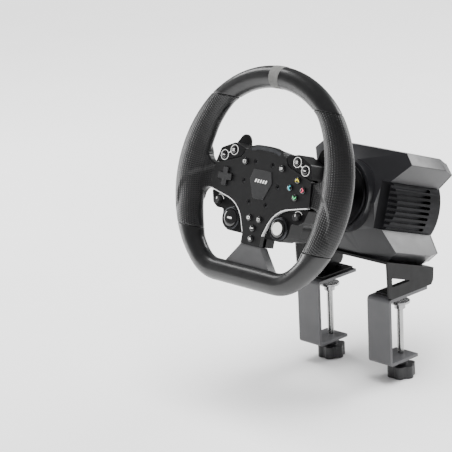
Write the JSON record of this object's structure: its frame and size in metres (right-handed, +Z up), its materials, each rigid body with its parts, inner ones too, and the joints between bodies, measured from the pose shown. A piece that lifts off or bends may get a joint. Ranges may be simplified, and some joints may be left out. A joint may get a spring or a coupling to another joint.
{
  "type": "racing wheel",
  "caption": "Desk-clamped racing wheel: flat-bottomed rim, button box with shift paddles, quick release and faceted direct-drive base on a two-clamp bracket.",
  "frame": {"origin": "on the desk's front top edge, midway between the two clamps: the jaws' undersides lie on Z = 0 and the spines' rear faces on Y = 0", "axes": "+Z up, -Y towards the driver, +X to the driver's right"},
  "size_m": [0.28, 0.3133, 0.4135],
  "materials": {
    "black_plastic": "fine moulded texture",
    "leather": "smooth microfibre leather",
    "grip_leather": "perforated leather",
    "marker": "plain band",
    "frame_plate": "black anodised",
    "spoke_cover": "moulded, fine texture",
    "badge": "satin",
    "light_guide": "frosted light guide",
    "screw": "black oxide",
    "button_yellow": "translucent cap",
    "button_cyan": "translucent cap",
    "button_red": "translucent cap",
    "button_green": "translucent cap",
    "button_black": "satin cap",
    "button_white": "white cap",
    "dpad": "satin",
    "paddle": "black anodised plate",
    "steel": "ground",
    "magnet_steel": "machined",
    "copper": "lacquered windings",
    "housing": "fine powder coat",
    "fins": "black anodised",
    "bracket": "powder coated steel",
    "clamp_steel": "powder coated steel",
    "rod": "zinc plated thread",
    "knob": "moulded",
    "socket": "moulded socket"
  },
  "bodies": {
    "base": {"mounting_bracket": "bracket", "clamp_frame_left": "clamp_steel", "clamp_frame_right": "clamp_steel", "base_screws": "screw", "base_housing": "housing", "base_rear_cover": "black_plastic", "fin_panel_left": "fins", "fin_panel_right": "fins", "top_vent_panel": "black_plastic", "neck_ring": "fins", "motor_stator": "copper", "shaft_bearings": "steel", "rear_sockets": "socket"},
    "wheel": {"drive_shaft": "magnet_steel", "quick_release": "fins", "hub_adapter": "fins", "hub_housing": "black_plastic", "faceplate": "black_plastic", "wheel_frame": "frame_plate", "rim_wrap_upper": "leather", "rim_wrap_lower": "leather", "grip_left": "grip_leather", "grip_right": "grip_leather", "centre_marker": "marker", "bottom_spoke_cover": "spoke_cover", "badge": "badge", "light_guides": "light_guide", "hub_screws": "screw", "lower_pod_left": "black_plastic", "lower_pod_right": "black_plastic"},
    "face_button_top": {"face_button_top": "button_yellow"},
    "face_button_left": {"face_button_left": "button_cyan"},
    "face_button_right": {"face_button_right": "button_red"},
    "face_button_bottom": {"face_button_bottom": "button_green"},
    "column_button_left": {"column_button_left": "button_black"},
    "column_button_right": {"column_button_right": "button_black"},
    "column_button_middle": {"column_button_middle": "button_black"},
    "column_button_bottom": {"column_button_bottom": "button_black"},
    "menu_button_left": {"menu_button_left": "button_black"},
    "pod_button_left_outer": {"pod_button_left_outer": "button_black"},
    "pod_button_left_inner": {"pod_button_left_inner": "button_black"},
    "round_button_left": {"round_button_left": "button_black"},
    "side_dial_left": {"side_dial_left": "button_black"},
    "menu_button_right": {"menu_button_right": "button_black"},
    "pod_button_right_outer": {"pod_button_right_outer": "button_black"},
    "pod_button_right_inner": {"pod_button_right_inner": "button_black"},
    "round_button_right": {"round_button_right": "button_white"},
    "side_dial_right": {"side_dial_right": "button_black"},
    "pad_gimbal": {"pad_gimbal": "button_black"},
    "direction_pad": {"direction_pad": "dpad"},
    "paddle_left": {"paddle_left": "paddle"},
    "paddle_right": {"paddle_right": "paddle"},
    "release_collar": {"release_collar": "fins"},
    "power_button": {"power_button": "button_black"},
    "clamp_pad_left": {"clamp_pad_left": "knob"},
    "clamp_screw_left": {"clamp_screw_left": "rod", "star_knob_left": "knob"},
    "clamp_pad_right": {"clamp_pad_right": "knob"},
    "clamp_screw_right": {"clamp_screw_right": "rod", "star_knob_right": "knob"}
  },
  "joints": [
    {"name": "steering", "type": "hinge", "parent": "base", "child": "wheel", "pos_m": [0, -0.14, 0.171], "axis": [0, -0.9511, 0.309], "continuous": true},
    {"name": "face_button_top_press", "type": "slide", "parent": "wheel", "child": "face_button_top", "axis": [0, 0.9511, -0.309], "range_m": [0, 0.0008], "stiffness_N_per_m": 400, "springref_m": -0.001},
    {"name": "face_button_left_press", "type": "slide", "parent": "wheel", "child": "face_button_left", "axis": [0, 0.9511, -0.309], "range_m": [0, 0.0008], "stiffness_N_per_m": 400, "springref_m": -0.001},
    {"name": "face_button_right_press", "type": "slide", "parent": "wheel", "child": "face_button_right", "axis": [0, 0.9511, -0.309], "range_m": [0, 0.0008], "stiffness_N_per_m": 400, "springref_m": -0.001},
    {"name": "face_button_bottom_press", "type": "slide", "parent": "wheel", "child": "face_button_bottom", "axis": [0, 0.9511, -0.309], "range_m": [0, 0.0008], "stiffness_N_per_m": 400, "springref_m": -0.001},
    {"name": "column_button_left_press", "type": "slide", "parent": "wheel", "child": "column_button_left", "axis": [0, 0.9511, -0.309], "range_m": [0, 0.0008], "stiffness_N_per_m": 400, "springref_m": -0.001},
    {"name": "column_button_right_press", "type": "slide", "parent": "wheel", "child": "column_button_right", "axis": [0, 0.9511, -0.309], "range_m": [0, 0.0008], "stiffness_N_per_m": 400, "springref_m": -0.001},
    {"name": "column_button_middle_press", "type": "slide", "parent": "wheel", "child": "column_button_middle", "axis": [0, 0.9511, -0.309], "range_m": [0, 0.0008], "stiffness_N_per_m": 400, "springref_m": -0.001},
    {"name": "column_button_bottom_press", "type": "slide", "parent": "wheel", "child": "column_button_bottom", "axis": [0, 0.9511, -0.309], "range_m": [0, 0.0008], "stiffness_N_per_m": 400, "springref_m": -0.001},
    {"name": "menu_button_left_press", "type": "slide", "parent": "wheel", "child": "menu_button_left", "axis": [0, 0.9511, -0.309], "range_m": [0, 0.0008], "stiffness_N_per_m": 400, "springref_m": -0.001},
    {"name": "pod_button_left_outer_press", "type": "slide", "parent": "wheel", "child": "pod_button_left_outer", "axis": [0, 0.9511, -0.309], "range_m": [0, 0.0008], "stiffness_N_per_m": 400, "springref_m": -0.001},
    {"name": "pod_button_left_inner_press", "type": "slide", "parent": "wheel", "child": "pod_button_left_inner", "axis": [0, 0.9511, -0.309], "range_m": [0, 0.0008], "stiffness_N_per_m": 400, "springref_m": -0.001},
    {"name": "round_button_left_press", "type": "slide", "parent": "wheel", "child": "round_button_left", "axis": [0, 0.9511, -0.309], "range_m": [0, 0.0012], "stiffness_N_per_m": 400, "springref_m": -0.001},
    {"name": "side_dial_left_turn", "type": "hinge", "parent": "wheel", "child": "side_dial_left", "pos_m": [-0.0645, -0.14912, 0.14294], "axis": [0, -0.9511, 0.309], "continuous": true},
    {"name": "menu_button_right_press", "type": "slide", "parent": "wheel", "child": "menu_button_right", "axis": [0, 0.9511, -0.309], "range_m": [0, 0.0008], "stiffness_N_per_m": 400, "springref_m": -0.001},
    {"name": "pod_button_right_outer_press", "type": "slide", "parent": "wheel", "child": "pod_button_right_outer", "axis": [0, 0.9511, -0.309], "range_m": [0, 0.0008], "stiffness_N_per_m": 400, "springref_m": -0.001},
    {"name": "pod_button_right_inner_press", "type": "slide", "parent": "wheel", "child": "pod_button_right_inner", "axis": [0, 0.9511, -0.309], "range_m": [0, 0.0008], "stiffness_N_per_m": 400, "springref_m": -0.001},
    {"name": "round_button_right_press", "type": "slide", "parent": "wheel", "child": "round_button_right", "axis": [0, 0.9511, -0.309], "range_m": [0, 0.0012], "stiffness_N_per_m": 400, "springref_m": -0.001},
    {"name": "side_dial_right_turn", "type": "hinge", "parent": "wheel", "child": "side_dial_right", "pos_m": [0.0645, -0.14912, 0.14294], "axis": [0, -0.9511, 0.309], "continuous": true},
    {"name": "direction_pad_sideways", "type": "hinge", "parent": "wheel", "child": "pad_gimbal", "pos_m": [-0.0585, -0.13483, 0.16953], "axis": [0, 0.309, 0.9511], "range_deg": [-3, 3], "stiffness_Nm_per_rad": 0.2},
    {"name": "direction_pad_upright", "type": "hinge", "parent": "pad_gimbal", "child": "direction_pad", "pos_m": [-0.0585, -0.13483, 0.16953], "axis": [1, 0, 0], "range_deg": [-3, 3], "stiffness_Nm_per_rad": 0.2},
    {"name": "paddle_left_pull", "type": "hinge", "parent": "wheel", "child": "paddle_left", "pos_m": [-0.042, -0.1098, 0.16119], "axis": [0, 0.309, 0.9511], "range_deg": [0, 4], "stiffness_Nm_per_rad": 6, "springref_deg": -5.73},
    {"name": "paddle_right_pull", "type": "hinge", "parent": "wheel", "child": "paddle_right", "pos_m": [0.042, -0.1098, 0.16119], "axis": [0, -0.309, -0.9511], "range_deg": [0, 4], "stiffness_Nm_per_rad": 6, "springref_deg": -5.73},
    {"name": "quick_release_pull", "type": "slide", "parent": "wheel", "child": "release_collar", "axis": [0, -0.9511, 0.309], "range_m": [0, 0.006], "stiffness_N_per_m": 1500, "springref_m": -0.003},
    {"name": "power_button_press", "type": "slide", "parent": "base", "child": "power_button", "axis": [0, -0.9511, 0.309], "range_m": [0, 0.0015], "stiffness_N_per_m": 500, "springref_m": -0.001},
    {"name": "clamp_left_travel", "type": "slide", "parent": "base", "child": "clamp_pad_left", "axis": [0, 0, 1], "range_m": [-0.058, 0.0015]},
    {"name": "clamp_left_turn", "type": "hinge", "parent": "clamp_pad_left", "child": "clamp_screw_left", "pos_m": [-0.059, 0.0366, 0], "axis": [0, 0, 1], "range_deg": [-16710, 435]},
    {"name": "clamp_right_travel", "type": "slide", "parent": "base", "child": "clamp_pad_right", "axis": [0, 0, 1], "range_m": [-0.058, 0.0015]},
    {"name": "clamp_right_turn", "type": "hinge", "parent": "clamp_pad_right", "child": "clamp_screw_right", "pos_m": [0.059, 0.0366, 0], "axis": [0, 0, 1], "range_deg": [-16710, 435]}
  ],
  "couplings": [
    {"joint": "clamp_left_turn", "follows": "clamp_left_travel", "rad_per_m": 5026.5},
    {"joint": "clamp_right_turn", "follows": "clamp_right_travel", "rad_per_m": 5026.5}
  ]
}
